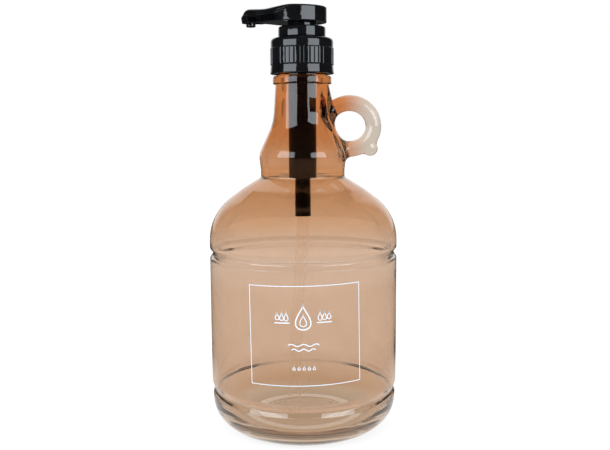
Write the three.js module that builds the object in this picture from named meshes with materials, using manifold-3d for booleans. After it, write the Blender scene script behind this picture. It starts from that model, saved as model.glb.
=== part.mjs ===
// Detergent dispenser bottle: a jug-shaped tinted glass bottle with a finger loop on its neck, closed by a
// screw-on lotion pump whose head is stored screwed down.
// Millimetres, +Z up. The origin is the centre of the base, the finger loop lies towards +X, and the pump's
// beak points to -X. The bottle, the closure and the pump share the Z axis.

import * as THREE from 'three';
import { mergeVertices } from 'three/addons/utils/BufferGeometryUtils.js';
import Module from 'manifold-3d';

const wasm = await Module();
wasm.setup();

// ---------------------------------------------------------------- driving dimensions

const CLEARANCE = 0.3; // between pieces that touch or slide on each other
const ARC_STEP = THREE.MathUtils.degToRad(24); // longest chord of a rounded corner
const LARGE_SIDES = 28; // bottle and closure
const SMALL_SIDES = 20; // pump

// Glass bottle
const BODY_R = 42.5; // straight wall of the body
const BAND_R = 42.1; // band below the lower groove
const GLASS_WALL = 2.3;
const HEEL_R = 14.6; // round corner between wall and base
const RESTING_RING_R = 22.5; // inner edge of the flat ring that the bottle stands on
const PUSH_UP = 2.2; // height of the hollow under the base
const BASE_THICK = 4.2; // glass in the middle of the base
const LOWER_GROOVE = { z: 18.4, halfHeight: 2.1, depth: 1.05 };
const UPPER_GROOVE = { z: 81.0, halfHeight: 2.4, depth: 1.6 };
const DOME_R = 23.4; // round shoulder
const DOME_TOP_Z = 98.2; // where the wall and the shoulder cone would meet
const DOME_SWELL = [27.5, 109.5]; // the shoulder cone swells to this radius at this height
const SHOULDER_Z = 114.8; // foot of the collar
const COLLAR_WAIST_R = 18.9;
const COLLAR_BULGE = { r: 19.7, z: 125.2 };
const NECK = { r: 13.1, z: 139.3 }; // where the neck's cone turns nearly upright
const NECK_TOP = { r: 12.0, z: 156.0 };
const NECK_BORE_R = 8.4;
const BEAD = { r: 13.15, low: 156.3, high: 159.7 }; // ring below the screw closure
const FINISH_R = 10.85; // thread root
const MOUTH_Z = 171.9;

// Finger loop
const LOOP = { x: 21.1, z: 137.5, halfWide: 10.85, halfTall: 10.25, tubeR: 3.55, flatness: 1.12 };
const THUMB_REST = { x: 30.6, z: 127.4, r: 3.35 };

// Neck thread, right-handed, 8 turns per inch
const THREAD_PITCH = 3.175;
const THREAD_TURNS = 1.5;
const THREAD_TOP_Z = 170.0;
const NECK_THREAD_R = 11.95;
const CLOSURE_THREAD_R = 11.2;

// Screw closure
const CLOSURE = { bottom: 160.6, top: 176.3, r: 13.95, flareR: 14.3, boreR: 12.35, lid: 1.2, holeR: 9.2 };
const RIBS = { count: 40, r: 14.2, low: 164.5, high: 171.9 };

// Pump body
const FLANGE = { r: 11.3, thick: 1.3 };
const COLLAR = { innerR: 8.0, r: 8.9, top: 179.2 };
const CYLINDER = { r: 6.25, boreR: 5.2, bottom: 112.9 };
const TUBE_SOCKET = { r: 3.55, boreR: 3.1, bottom: 98.0, depth: 14.1 };
const SEAT = { holeR: 1.7, z: 113.7, coneR: 3.3 };
const CHAPLET = { r: 10.55, top: 181.2, web: 1.2, sleeveR: 7.7, boreR: 7.05, guideBottom: 169.1 };
const TUBE = { r: 2.8, boreR: 2.1 };

// Pump works
const BALL_R = 2.38;
const CAGE = { r: 4.9, boreR: 3.9, bottom: 115.5, top: 121.0, plate: 1.0, holeR: 1.6, slot: 1.6 };
const ROD = { collarR: 4.7, bottom: 141.9, collar: 1.1, seatTop: 143.9, shankR: 1.6, top: 158.6 };
const PISTON = { r: 4.95, waistR: 4.2, boreR: 3.25, bottom: 143.35, top: 153.5 };
const STEM = { r: 3.65, boreR: 2.3, stubR: 2.95, bottom: 148.1, shoulder: 155.0, top: 184.2 };
const SPRING = { r: 4.1, wireR: 0.45, turns: 8, stepsPerTurn: 10 };

// Pump head
const DRUM = { x: -4.2, halfLong: 15.3, halfWide: 11.3, bottom: 183.0, top: 189.9 };
const SPOUT = { tipX: -27.7, halfWidth: 4.3, bottom: 182.8, top: 188.9, beakR: 5.2 };
const FLANK = { leaveX: -10.0, reachX: -20.5 }; // hollow sides between drum and spout
const SLOPE = { topX: -6, topR: 8, footX: -16, footR: 12 }; // from the drum's top down to the spout's
const SPOUT_STEP = { leftX: -17.6, rightX: -17.1 }; // the spout's underside steps down here
const HEAD_WALL = 1.3;
const HEAD_EDGE = 0.9; // rounding of the head's edges
const BASE_PLATE = { low: 183.2, high: 184.2 };
const SKIRT = { r: 6.45, innerR: 5.5, bottom: 176.6, roof: 181.9 };
const LOCK_RIDGE = { r: 6.8, lead: 3.2, turns: 0.8, bottom: 177.8 };
const STEM_SOCKET = { r: 4.9, bottom: 178.6, ceiling: 187.0, top: 188.2 };
const NOZZLE = { x: -22.6, r: 2.1, boreR: 1.3, bottom: 181.3, top: 185.5 };
const CHANNEL = { z: 185.1, r: 1.6, boreR: 0.9 };

// ---------------------------------------------------------------- materials

const tintedGlass = () => new THREE.MeshStandardMaterial({
  color: 0xc8a88a, roughness: 0.05, metalness: 0, transparent: true, opacity: 0.45,
});
const opaque = (color, roughness, metalness = 0) => new THREE.MeshStandardMaterial({
  color, roughness, metalness,
});
const blackPlastic = () => opaque(0x111214, 0.22);
const naturalPlastic = () => opaque(0xe4ddd0, 0.45);
const foamLiner = () => opaque(0xf0eee8, 0.9);
const steel = () => opaque(0xb9bcc0, 0.25, 1);

// ---------------------------------------------------------------- outlines and solids

// Points of an outline through corners [x, y, radius]. A corner with a radius becomes an arc tangent to
// both of its sides. An outline that doesn't end on the axis closes on itself.
function outline(corners) {
  const points = [];
  const count = corners.length;
  const at = (i) => new THREE.Vector2(corners[i][0], corners[i][1]);
  corners.forEach(([x, y, radius = 0], i) => {
    const corner = new THREE.Vector2(x, y);
    if (radius === 0) {
      points.push(corner);
      return;
    }
    const before = at((i + count - 1) % count).sub(corner).normalize();
    const after = at((i + 1) % count).sub(corner).normalize();
    const half = before.angleTo(after) / 2;
    const centre = before.clone().add(after).normalize().multiplyScalar(radius / Math.sin(half)).add(corner);
    const start = before.multiplyScalar(radius / Math.tan(half)).add(corner);
    const turn = (Math.PI - 2 * half) * -Math.sign(start.clone().sub(corner).cross(after));
    const steps = Math.max(1, Math.ceil(Math.abs(turn) / ARC_STEP));
    for (let k = 0; k <= steps; k += 1) {
      points.push(start.clone().rotateAround(centre, (turn * k) / steps));
    }
  });
  return points;
}

// Points along an arc of a circle, from one angle to another.
function arc(x, y, radius, from, to) {
  const steps = Math.ceil(Math.abs(to - from) / ARC_STEP);
  const point = (k) => from + ((to - from) * k) / steps;
  return Array.from({ length: steps + 1 }, (_, k) => new THREE.Vector2(
    x + radius * Math.cos(point(k)),
    y + radius * Math.sin(point(k)),
  ));
}

// Solid of revolution about +Z of an outline [r, z, radius], which starts and ends on the axis or closes.
function turned(corners, sides) {
  const points = outline(corners);
  if (points[0].x > 0) {
    points.push(points[0].clone());
  }
  return solid(new THREE.LatheGeometry(points, sides).rotateX(Math.PI / 2));
}

// Upright prism of a shape between two heights, with its edges rounded by edge where it is given.
function prism(shape, low, high, edge = 0) {
  const geometry = new THREE.ExtrudeGeometry(shape, {
    depth: high - low - 2 * edge,
    bevelEnabled: edge > 0,
    bevelThickness: edge,
    bevelSize: edge,
    bevelOffset: -edge,
    bevelSegments: 2,
    curveSegments: 5,
  });
  return solid(geometry.translate(0, 0, low + edge));
}

// A closed geometry as a solid, with its faces pointing out.
function solid(geometry) {
  geometry.deleteAttribute('normal');
  geometry.deleteAttribute('uv');
  const merged = mergeVertices(geometry, 1e-4);
  const vertProperties = new Float32Array(merged.attributes.position.array);
  const corners = Array.from(merged.index.array);
  const kept = [];
  for (let i = 0; i < corners.length; i += 3) {
    const [a, b, c] = corners.slice(i, i + 3);
    if (a !== b && b !== c && c !== a) {
      kept.push(a, b, c);
    }
  }
  const triVerts = new Uint32Array(signedVolume(vertProperties, kept) < 0 ? kept.reverse() : kept);
  return new wasm.Manifold(new wasm.Mesh({ numProp: 3, vertProperties, triVerts }));
}

function signedVolume(positions, indices) {
  const vertex = (i) => new THREE.Vector3().fromArray(positions, 3 * i);
  let sum = 0;
  for (let i = 0; i < indices.length; i += 3) {
    sum += vertex(indices[i]).dot(vertex(indices[i + 1]).cross(vertex(indices[i + 2])));
  }
  return sum / 6;
}

function node(name, body, material) {
  const { vertProperties, triVerts } = body.getMesh();
  const geometry = new THREE.BufferGeometry();
  geometry.setAttribute('position', new THREE.BufferAttribute(new Float32Array(vertProperties), 3));
  geometry.setIndex(new THREE.BufferAttribute(new Uint32Array(triVerts), 1));
  geometry.computeVertexNormals();
  const mesh = new THREE.Mesh(geometry, material);
  mesh.name = name;
  return mesh;
}

// A bar of the given section, wound about +Z. The section's x runs along the axis and its y is the radius.
// height(t) is the bar's place on the axis, and fade(t) how much of its radial depth it has, from root.
function wound({ section, turns, stepsPerTurn, height, root = 0, fade = () => 1 }) {
  const steps = Math.round(turns * stepsPerTurn);
  const bar = new THREE.ExtrudeGeometry(section, { depth: 1, steps, bevelEnabled: false, curveSegments: 3 });
  const position = bar.attributes.position;
  for (let i = 0; i < position.count; i += 1) {
    const t = position.getZ(i);
    const angle = 2 * Math.PI * turns * t;
    const radius = root + (position.getY(i) - root) * fade(t);
    position.setXYZ(i, radius * Math.cos(angle), radius * Math.sin(angle), height(t) + position.getX(i));
  }
  return solid(bar);
}

// Screw thread of trapezoid section from root radius to crest radius, which runs out at both ends.
function thread({ root, crest, bottom, pitch, turns, rootWidth, crestWidth }) {
  const section = new THREE.Shape([
    new THREE.Vector2(-rootWidth / 2, root),
    new THREE.Vector2(rootWidth / 2, root),
    new THREE.Vector2(crestWidth / 2, crest),
    new THREE.Vector2(-crestWidth / 2, crest),
  ]);
  const runOut = 0.1;
  return wound({
    section,
    turns,
    stepsPerTurn: 18,
    height: (t) => bottom + pitch * turns * t,
    root,
    fade: (t) => Math.max(0.15, Math.min(1, t / runOut, (1 - t) / runOut)),
  });
}

// ---------------------------------------------------------------- glass bottle

// Outline of the bottle's outside, from the middle of the base up to the mouth.
function glassOutside() {
  const groove = ({ z, halfHeight, depth }, wallR) => [
    [wallR, z - halfHeight],
    [wallR - depth, z, halfHeight / 2],
    [wallR, z + halfHeight],
  ];
  return [
    [0, PUSH_UP],
    [RESTING_RING_R - 6, PUSH_UP - 0.6],
    [RESTING_RING_R, 0],
    [BAND_R, 0, HEEL_R],
    ...groove(LOWER_GROOVE, BAND_R),
    [BODY_R, LOWER_GROOVE.z + 3.6],
    ...groove(UPPER_GROOVE, BODY_R),
    [BODY_R, DOME_TOP_Z, DOME_R],
    [...DOME_SWELL, 25],
    [COLLAR_WAIST_R, SHOULDER_Z, 1.2],
    [COLLAR_WAIST_R, SHOULDER_Z + 3.3, 5],
    [COLLAR_BULGE.r, COLLAR_BULGE.z, 8],
    [NECK.r, NECK.z, 25],
    [NECK_TOP.r, NECK_TOP.z],
    [BEAD.r, BEAD.low, 0.6],
    [BEAD.r, BEAD.high, 0.8],
    [FINISH_R, BEAD.high],
    [FINISH_R, MOUTH_Z, 0.7],
  ];
}

// Outline of the hollow, from the mouth down to the middle of the floor. It runs past the mouth.
function glassInside() {
  const innerR = BODY_R - GLASS_WALL;
  const floorZ = PUSH_UP + BASE_THICK;
  return [
    [0, MOUTH_Z + 1],
    [NECK_BORE_R, MOUTH_Z + 1],
    [NECK_BORE_R, NECK.z + 4, 22],
    [COLLAR_BULGE.r - 2.8, COLLAR_BULGE.z, 8],
    [COLLAR_WAIST_R - 2.55, SHOULDER_Z + 2],
    [COLLAR_WAIST_R - 2.55, SHOULDER_Z - 1.1],
    [innerR, DOME_TOP_Z - 1.35, DOME_R - GLASS_WALL],
    [innerR, UPPER_GROOVE.z + 3.2],
    [innerR - 1, UPPER_GROOVE.z],
    [innerR, UPPER_GROOVE.z - 3.2],
    [innerR, floorZ - 1, HEEL_R - 4],
    [RESTING_RING_R, floorZ - 1],
    [0, floorZ],
  ];
}

function fingerLoop() {
  const ring = new THREE.TorusGeometry(LOOP.halfTall, LOOP.tubeR, 10, 24).rotateX(Math.PI / 2);
  const position = ring.attributes.position;
  for (let i = 0; i < position.count; i += 1) {
    const angle = Math.atan2(position.getZ(i), position.getX(i));
    const out = Math.hypot(position.getX(i), position.getZ(i)) - LOOP.halfTall;
    const x = LOOP.x + (LOOP.halfWide + out) * Math.cos(angle);
    const z = LOOP.z + (LOOP.halfTall + out) * Math.sin(angle);
    position.setXYZ(i, x, LOOP.flatness * position.getY(i), z);
  }
  const rest = new THREE.SphereGeometry(THUMB_REST.r, 12, 6);
  rest.scale(1, LOOP.flatness, 1).translate(THUMB_REST.x, 0, THUMB_REST.z);
  return solid(ring).add(solid(rest));
}

function glassBottle() {
  const outside = turned([...glassOutside(), [0, MOUTH_Z]], LARGE_SIDES);
  const neckThread = thread({
    root: FINISH_R - 0.3,
    crest: NECK_THREAD_R,
    bottom: THREAD_TOP_Z - THREAD_PITCH * THREAD_TURNS,
    pitch: THREAD_PITCH,
    turns: THREAD_TURNS,
    rootWidth: 1.7,
    crestWidth: 0.8,
  });
  return outside.add(fingerLoop()).subtract(turned(glassInside(), LARGE_SIDES)).add(neckThread);
}

// ---------------------------------------------------------------- screw closure

function ribbedBand() {
  const star = new THREE.Shape();
  for (let i = 0; i < 2 * RIBS.count; i += 1) {
    const angle = (Math.PI * i) / RIBS.count;
    const radius = i % 2 === 0 ? RIBS.r : CLOSURE.r - 0.05;
    const point = new THREE.Vector2(radius, 0).rotateAround(new THREE.Vector2(), angle);
    star[i === 0 ? 'moveTo' : 'lineTo'](point.x, point.y);
  }
  star.holes.push(new THREE.Path().absarc(0, 0, CLOSURE.r - 0.8, 0, 2 * Math.PI));
  return prism(star, RIBS.low, RIBS.high);
}

function screwClosure() {
  const shell = turned([
    [CLOSURE.boreR, CLOSURE.bottom],
    [CLOSURE.flareR, CLOSURE.bottom, 0.4],
    [CLOSURE.r, RIBS.low],
    [CLOSURE.r, CLOSURE.top, 1.7],
    [CLOSURE.holeR, CLOSURE.top],
    [CLOSURE.holeR, CLOSURE.top - CLOSURE.lid],
    [CLOSURE.boreR, CLOSURE.top - CLOSURE.lid],
  ], LARGE_SIDES);
  const innerThread = thread({
    root: CLOSURE.boreR + 0.3,
    crest: CLOSURE_THREAD_R,
    bottom: THREAD_TOP_Z - THREAD_PITCH * (THREAD_TURNS + 0.5),
    pitch: THREAD_PITCH,
    turns: THREAD_TURNS,
    rootWidth: 1.5,
    crestWidth: 0.7,
  });
  return shell.add(ribbedBand()).add(innerThread);
}

// ---------------------------------------------------------------- pump body

const flangeTop = CLOSURE.top - CLOSURE.lid - CLEARANCE;
const flangeBottom = flangeTop - FLANGE.thick;

function pumpHousing() {
  const socketTop = TUBE_SOCKET.bottom + TUBE_SOCKET.depth;
  const seatTop = SEAT.z + SEAT.coneR - SEAT.holeR;
  return turned([
    [TUBE_SOCKET.boreR, TUBE_SOCKET.bottom],
    [TUBE_SOCKET.r, TUBE_SOCKET.bottom],
    [TUBE_SOCKET.r, CYLINDER.bottom - 0.3],
    [CYLINDER.r - 0.5, CYLINDER.bottom],
    [CYLINDER.r, CYLINDER.bottom + 0.8],
    [CYLINDER.r, flangeBottom],
    [FLANGE.r, flangeBottom],
    [FLANGE.r, flangeTop],
    [COLLAR.r, flangeTop],
    [COLLAR.r, COLLAR.top],
    [COLLAR.innerR, COLLAR.top],
    [COLLAR.innerR, flangeTop],
    [CYLINDER.boreR, flangeTop],
    [CYLINDER.boreR, seatTop],
    [SEAT.coneR, seatTop],
    [SEAT.holeR, SEAT.z],
    [SEAT.holeR, socketTop],
    [TUBE_SOCKET.boreR, socketTop],
  ], SMALL_SIDES);
}

function mouthGasket() {
  const innerR = CYLINDER.r + 0.45;
  return turned([
    [innerR, MOUTH_Z + CLEARANCE],
    [FLANGE.r, MOUTH_Z + CLEARANCE],
    [FLANGE.r, flangeBottom - CLEARANCE],
    [innerR, flangeBottom - CLEARANCE],
  ], SMALL_SIDES);
}

// Trim ring that snaps over the housing's collar, with a sleeve for the head's skirt and the stem guide.
function chaplet() {
  const ringBottom = CLOSURE.top + CLEARANCE;
  const floorBottom = flangeTop + CLEARANCE;
  const guideR = CYLINDER.boreR - CLEARANCE;
  const guideBoreR = STEM.r + CLEARANCE;
  return turned([
    [CHAPLET.r, ringBottom, 0.3],
    [CHAPLET.r, CHAPLET.top, 0.6],
    [CHAPLET.boreR, CHAPLET.top],
    [CHAPLET.boreR, floorBottom + 0.9],
    [guideBoreR, floorBottom + 0.9],
    [guideBoreR, CHAPLET.guideBottom],
    [guideR, CHAPLET.guideBottom],
    [guideR, floorBottom],
    [CHAPLET.sleeveR, floorBottom],
    [CHAPLET.sleeveR, CHAPLET.top - CHAPLET.web],
    [COLLAR.r + CLEARANCE, CHAPLET.top - CHAPLET.web],
    [COLLAR.r + CLEARANCE, ringBottom],
  ], SMALL_SIDES);
}

// The tube hangs straight out of its socket and leans towards -X on its way to the floor of the bottle.
function dipTube() {
  const section = new THREE.Shape().absarc(0, 0, TUBE.r, 0, 2 * Math.PI);
  section.holes.push(new THREE.Path().absarc(0, 0, TUBE.boreR, 0, 2 * Math.PI));
  const route = new THREE.CatmullRomCurve3([
    new THREE.Vector3(0, 0, TUBE_SOCKET.bottom + TUBE_SOCKET.depth - 1),
    new THREE.Vector3(0, 0, TUBE_SOCKET.bottom),
    new THREE.Vector3(-1.7, 0, 70),
    new THREE.Vector3(-3.9, 0, 33),
    new THREE.Vector3(-4.6, 0, 12.9),
  ]);
  return solid(new THREE.ExtrudeGeometry(section, { extrudePath: route, steps: 10, curveSegments: 5 }));
}

// ---------------------------------------------------------------- pump works

function inletBall() {
  const centreZ = SEAT.z - SEAT.holeR + (BALL_R + CLEARANCE) * Math.SQRT2;
  return solid(new THREE.SphereGeometry(BALL_R, 12, 6).rotateX(Math.PI / 2).translate(0, 0, centreZ));
}

// Slotted cup over the ball: it keeps the ball near its seat, and the return spring stands on it.
function ballCage() {
  const plateBottom = CAGE.top - CAGE.plate;
  const cup = turned([
    [CAGE.boreR, CAGE.bottom],
    [CAGE.r, CAGE.bottom],
    [CAGE.r, CAGE.top],
    [CAGE.holeR, CAGE.top],
    [CAGE.holeR, plateBottom],
    [CAGE.boreR, plateBottom],
  ], SMALL_SIDES);
  const slotLength = 2 * (CAGE.boreR - 0.5);
  const slotHeight = CAGE.plate + 1;
  const slot = () => new THREE.BoxGeometry(slotLength, CAGE.slot, slotHeight)
    .translate(0, 0, CAGE.top - CAGE.plate / 2);
  return cup.subtract(solid(slot())).subtract(solid(slot().rotateZ(Math.PI / 2)));
}

function returnSpring() {
  const bottom = CAGE.top + CLEARANCE + SPRING.wireR;
  const top = ROD.bottom - CLEARANCE - SPRING.wireR;
  const closedPitch = 2.2 * SPRING.wireR;
  const closedPart = 1 / SPRING.turns;
  const closedHeight = closedPitch * closedPart * SPRING.turns;
  const height = (t) => {
    if (t < closedPart) {
      return bottom + closedHeight * (t / closedPart);
    }
    if (t > 1 - closedPart) {
      return top - closedHeight * ((1 - t) / closedPart);
    }
    const open = (t - closedPart) / (1 - 2 * closedPart);
    return bottom + closedHeight + (top - bottom - 2 * closedHeight) * open;
  };
  const section = new THREE.Shape().absarc(0, SPRING.r, SPRING.wireR, 0, 2 * Math.PI);
  return wound({ section, turns: SPRING.turns, stepsPerTurn: SPRING.stepsPerTurn, height });
}

// Solid rod that hangs in the stem. Its collar takes the spring, and the cone above it is the valve seat.
function pistonRod() {
  const collarTop = ROD.bottom + ROD.collar;
  return turned([
    [0, ROD.bottom],
    [ROD.collarR, ROD.bottom],
    [ROD.collarR, collarTop],
    [PISTON.boreR + 0.35, collarTop],
    [PISTON.boreR - 0.25, ROD.seatTop],
    [ROD.shankR, ROD.seatTop],
    [ROD.shankR, ROD.top],
    [0, ROD.top],
  ], SMALL_SIDES);
}

// Sleeve with a sealing lip at each end. It floats a little on the stem, which opens and shuts the valve.
function piston() {
  const lip = 0.8;
  return turned([
    [PISTON.boreR + 0.7, PISTON.bottom],
    [PISTON.r, PISTON.bottom],
    [PISTON.r, PISTON.bottom + lip],
    [PISTON.waistR, PISTON.bottom + 2 * lip],
    [PISTON.waistR, PISTON.top - 2 * lip],
    [PISTON.r, PISTON.top - lip],
    [PISTON.r, PISTON.top],
    [PISTON.boreR, PISTON.top],
    [PISTON.boreR, PISTON.bottom + 1.2],
  ], SMALL_SIDES);
}

function stem() {
  return turned([
    [STEM.boreR, STEM.bottom],
    [STEM.stubR, STEM.bottom],
    [STEM.stubR, STEM.shoulder],
    [STEM.r, STEM.shoulder],
    [STEM.r, STEM.top],
    [STEM.boreR, STEM.top],
  ], SMALL_SIDES);
}

// ---------------------------------------------------------------- pump head

// Plan of the head: an oval drum whose left side runs in a hollow curve into a narrow spout. inset moves it
// inwards.
function headPlan(inset) {
  const long = DRUM.halfLong - inset;
  const wide = DRUM.halfWide - inset;
  const half = SPOUT.halfWidth - inset;
  const u = (FLANK.leaveX - DRUM.x) / long;
  const leaveY = wide * Math.sqrt(1 - u * u);
  const slope = ((-wide / long) * u) / Math.sqrt(1 - u * u);
  const length = FLANK.reachX - FLANK.leaveX;
  const flank = (t) => new THREE.Vector2(
    FLANK.leaveX + length * t,
    (2 * t ** 3 - 3 * t ** 2 + 1) * leaveY
      + (t ** 3 - 2 * t ** 2 + t) * length * slope
      + (3 * t ** 2 - 2 * t ** 3) * half,
  );
  const upper = [0.2, 0.4, 0.6, 0.8].map(flank);
  const lower = upper.map((point) => new THREE.Vector2(point.x, -point.y)).reverse();
  const turn = Math.acos(u);
  const oval = arc(0, 0, 1, -turn, turn)
    .map((point) => new THREE.Vector2(DRUM.x + long * point.x, wide * point.y));
  const endX = SPOUT.tipX + inset + half;
  return new THREE.Shape([...oval, ...upper, ...arc(endX, 0, half, Math.PI / 2, 1.5 * Math.PI), ...lower]);
}

// Side view of the head: flat drum top, a slope down to the spout and a beak that curves down at its tip.
function headSide(inset) {
  const low = inset > 0 ? DRUM.bottom - 1 : DRUM.bottom;
  const spoutLow = inset > 0 ? low : SPOUT.bottom;
  const tipX = SPOUT.tipX + inset;
  const rightX = DRUM.x + DRUM.halfLong + 1;
  const corners = outline([
    [rightX, low],
    [rightX, DRUM.top - inset],
    [SLOPE.topX, DRUM.top - inset, SLOPE.topR],
    [SLOPE.footX, SPOUT.top - inset, SLOPE.footR],
    [tipX, SPOUT.top - inset, SPOUT.beakR],
    [tipX, spoutLow, inset > 0 ? 0 : 0.5],
    [SPOUT_STEP.leftX, spoutLow],
    [SPOUT_STEP.rightX, low],
  ]);
  return new THREE.Shape(corners);
}

function headForm(inset) {
  const low = inset > 0 ? DRUM.bottom - 1 : DRUM.bottom;
  const plan = prism(headPlan(inset), low, DRUM.top - inset, inset > 0 ? 0 : HEAD_EDGE);
  const width = 2 * DRUM.halfWide + 4;
  const side = new THREE.ExtrudeGeometry(headSide(inset), { depth: width, bevelEnabled: false });
  return plan.intersect(solid(side.rotateX(Math.PI / 2).translate(0, width / 2, 0)));
}

function actuatorCover() {
  return headForm(0).subtract(headForm(HEAD_WALL));
}

// Upright or level round bar between two points.
function bar(from, to, radius) {
  const route = new THREE.LineCurve3(new THREE.Vector3(...from), new THREE.Vector3(...to));
  const section = new THREE.Shape().absarc(0, 0, radius, 0, 2 * Math.PI);
  return solid(new THREE.ExtrudeGeometry(section, { extrudePath: route, steps: 1, curveSegments: 6 }));
}

// Inner part of the head: base plate, skirt with the lock ridge, stem socket, flow channel and nozzle.
function actuatorCore() {
  const stemBoreR = STEM.r + CLEARANCE;
  const middle = turned([
    [0, STEM_SOCKET.ceiling],
    [stemBoreR, STEM_SOCKET.ceiling],
    [stemBoreR, STEM_SOCKET.bottom],
    [STEM_SOCKET.r, STEM_SOCKET.bottom],
    [STEM_SOCKET.r, SKIRT.roof],
    [SKIRT.innerR, SKIRT.roof],
    [SKIRT.innerR, SKIRT.bottom],
    [SKIRT.r, SKIRT.bottom, 0.3],
    [SKIRT.r, BASE_PLATE.high],
    [STEM_SOCKET.r, BASE_PLATE.high],
    [STEM_SOCKET.r, STEM_SOCKET.top],
    [0, STEM_SOCKET.top],
  ], SMALL_SIDES);
  const plan = headPlan(HEAD_WALL + CLEARANCE);
  plan.holes.push(new THREE.Path().absarc(0, 0, SKIRT.r - 0.4, 0, 2 * Math.PI));
  const plate = prism(plan, BASE_PLATE.low, BASE_PLATE.high);
  const lockRidge = thread({
    root: SKIRT.r - 0.2,
    crest: LOCK_RIDGE.r,
    bottom: LOCK_RIDGE.bottom,
    pitch: LOCK_RIDGE.lead,
    turns: LOCK_RIDGE.turns,
    rootWidth: 1.3,
    crestWidth: 0.7,
  });
  const channelEnd = [NOZZLE.x, 0, CHANNEL.z];
  const channel = bar([-STEM_SOCKET.r + 0.4, 0, CHANNEL.z], channelEnd, CHANNEL.r);
  const nozzle = bar([NOZZLE.x, 0, NOZZLE.bottom], [NOZZLE.x, 0, NOZZLE.top], NOZZLE.r);
  const flow = bar([-STEM.r, 0, CHANNEL.z], channelEnd, CHANNEL.boreR);
  const outlet = bar([NOZZLE.x, 0, NOZZLE.bottom - 1], channelEnd, NOZZLE.boreR);
  return middle.add(plate).add(lockRidge).add(channel).add(nozzle).subtract(flow).subtract(outlet);
}

// ---------------------------------------------------------------- assembly

const dispenser = new THREE.Group();
dispenser.add(
  node('glass_bottle', glassBottle(), tintedGlass()),
  node('screw_closure', screwClosure(), blackPlastic()),
  node('pump_housing', pumpHousing(), blackPlastic()),
  node('chaplet', chaplet(), blackPlastic()),
  node('mouth_gasket', mouthGasket(), foamLiner()),
  node('dip_tube', dipTube(), naturalPlastic()),
  node('inlet_ball', inletBall(), steel()),
  node('ball_cage', ballCage(), naturalPlastic()),
  node('return_spring', returnSpring(), steel()),
  node('piston_rod', pistonRod(), naturalPlastic()),
  node('piston', piston(), naturalPlastic()),
  node('stem', stem(), blackPlastic()),
  node('actuator_core', actuatorCore(), blackPlastic()),
  node('actuator_cover', actuatorCover(), blackPlastic()),
);

export default dispenser;
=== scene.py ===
"""Looks of the detergent dispenser bottle: a tinted glass jug with a finger loop and a black lotion pump.

Shapes are given in millimetres in the model's frame and turned into metres when a piece is made.
+Z is up, the finger loop lies towards +X and the pump's beak points to -X.
"""

import math

import bmesh
import bpy
import numpy as np
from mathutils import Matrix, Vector


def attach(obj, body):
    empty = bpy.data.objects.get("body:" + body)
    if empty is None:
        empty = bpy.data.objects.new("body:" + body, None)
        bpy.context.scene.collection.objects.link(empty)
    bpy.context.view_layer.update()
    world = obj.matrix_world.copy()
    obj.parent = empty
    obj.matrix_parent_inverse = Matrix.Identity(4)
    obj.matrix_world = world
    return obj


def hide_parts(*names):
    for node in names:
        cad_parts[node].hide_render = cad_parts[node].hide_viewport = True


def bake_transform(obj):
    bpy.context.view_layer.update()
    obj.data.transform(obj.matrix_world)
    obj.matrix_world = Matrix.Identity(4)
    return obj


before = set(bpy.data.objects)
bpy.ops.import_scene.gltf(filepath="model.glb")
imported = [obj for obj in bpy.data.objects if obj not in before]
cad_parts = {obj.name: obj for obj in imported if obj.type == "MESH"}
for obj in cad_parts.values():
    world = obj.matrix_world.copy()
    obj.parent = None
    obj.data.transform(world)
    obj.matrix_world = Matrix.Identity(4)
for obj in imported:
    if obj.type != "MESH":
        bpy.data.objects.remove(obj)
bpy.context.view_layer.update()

# ---------------------------------------------------------------- dimensions

MM = 0.001
CLEARANCE = 0.3

BODY_R = 42.5
BAND_R = 42.1
GLASS_WALL = 2.3
HEEL_R = 14.6
RESTING_RING_R = 22.5
PUSH_UP = 2.2
BASE_THICK = 4.2
LOWER_GROOVE = {"z": 18.4, "half": 2.1, "depth": 1.05}
UPPER_GROOVE = {"z": 81.0, "half": 2.4, "depth": 1.6}
DOME_R = 23.4
DOME_TOP_Z = 98.2
DOME_SWELL = (27.5, 109.5)  # the shoulder cone swells to this point
SHOULDER_Z = 114.8
COLLAR_WAIST_R = 18.9
COLLAR_BULGE = {"r": 19.7, "z": 125.2}
NECK = {"r": 13.1, "z": 139.3}
NECK_TOP = {"r": 12.0, "z": 156.0}
NECK_BORE_R = 8.4
BEAD = {"r": 13.15, "low": 156.3, "high": 159.7}
FINISH_R = 10.85
MOUTH_Z = 171.9

LOOP = {"x": 21.1, "z": 137.5, "wide": 10.85, "tall": 10.25, "tube": 3.55, "flatness": 1.12}
THUMB_REST = {"x": 30.6, "z": 127.4, "r": 3.35}
LOOP_FILLET = 3.2  # softness of the joint between loop and neck
REST_FILLET = 1.6

THREAD_PITCH = 3.175
THREAD_TURNS = 1.5
THREAD_TOP_Z = 170.0
NECK_THREAD_R = 11.95
CLOSURE_THREAD_R = 11.2

CLOSURE = {"bottom": 160.6, "top": 176.3, "r": 13.95, "flare": 14.3, "bore": 12.35, "lid": 1.2, "hole": 9.2}
RIBS = {"count": 40, "r": 14.2, "low": 164.5, "high": 171.9}

FLANGE = {"r": 11.3, "thick": 1.3}
COLLAR = {"inner": 8.0, "r": 8.9, "top": 179.2}
CYLINDER = {"r": 6.25, "bore": 5.2, "bottom": 112.9}
TUBE_SOCKET = {"r": 3.55, "bore": 3.1, "bottom": 98.0, "depth": 14.1}
SEAT = {"hole": 1.7, "z": 113.7, "cone": 3.3}
CHAPLET = {"r": 10.55, "top": 181.2, "web": 1.2, "sleeve": 7.7, "bore": 7.05, "guide_bottom": 169.1}
TUBE = {"r": 2.8, "bore": 2.1}
TUBE_ROUTE = [(0, 111.1), (0, 98.0), (-1.7, 70), (-3.9, 33), (-4.6, 12.9)]

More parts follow.
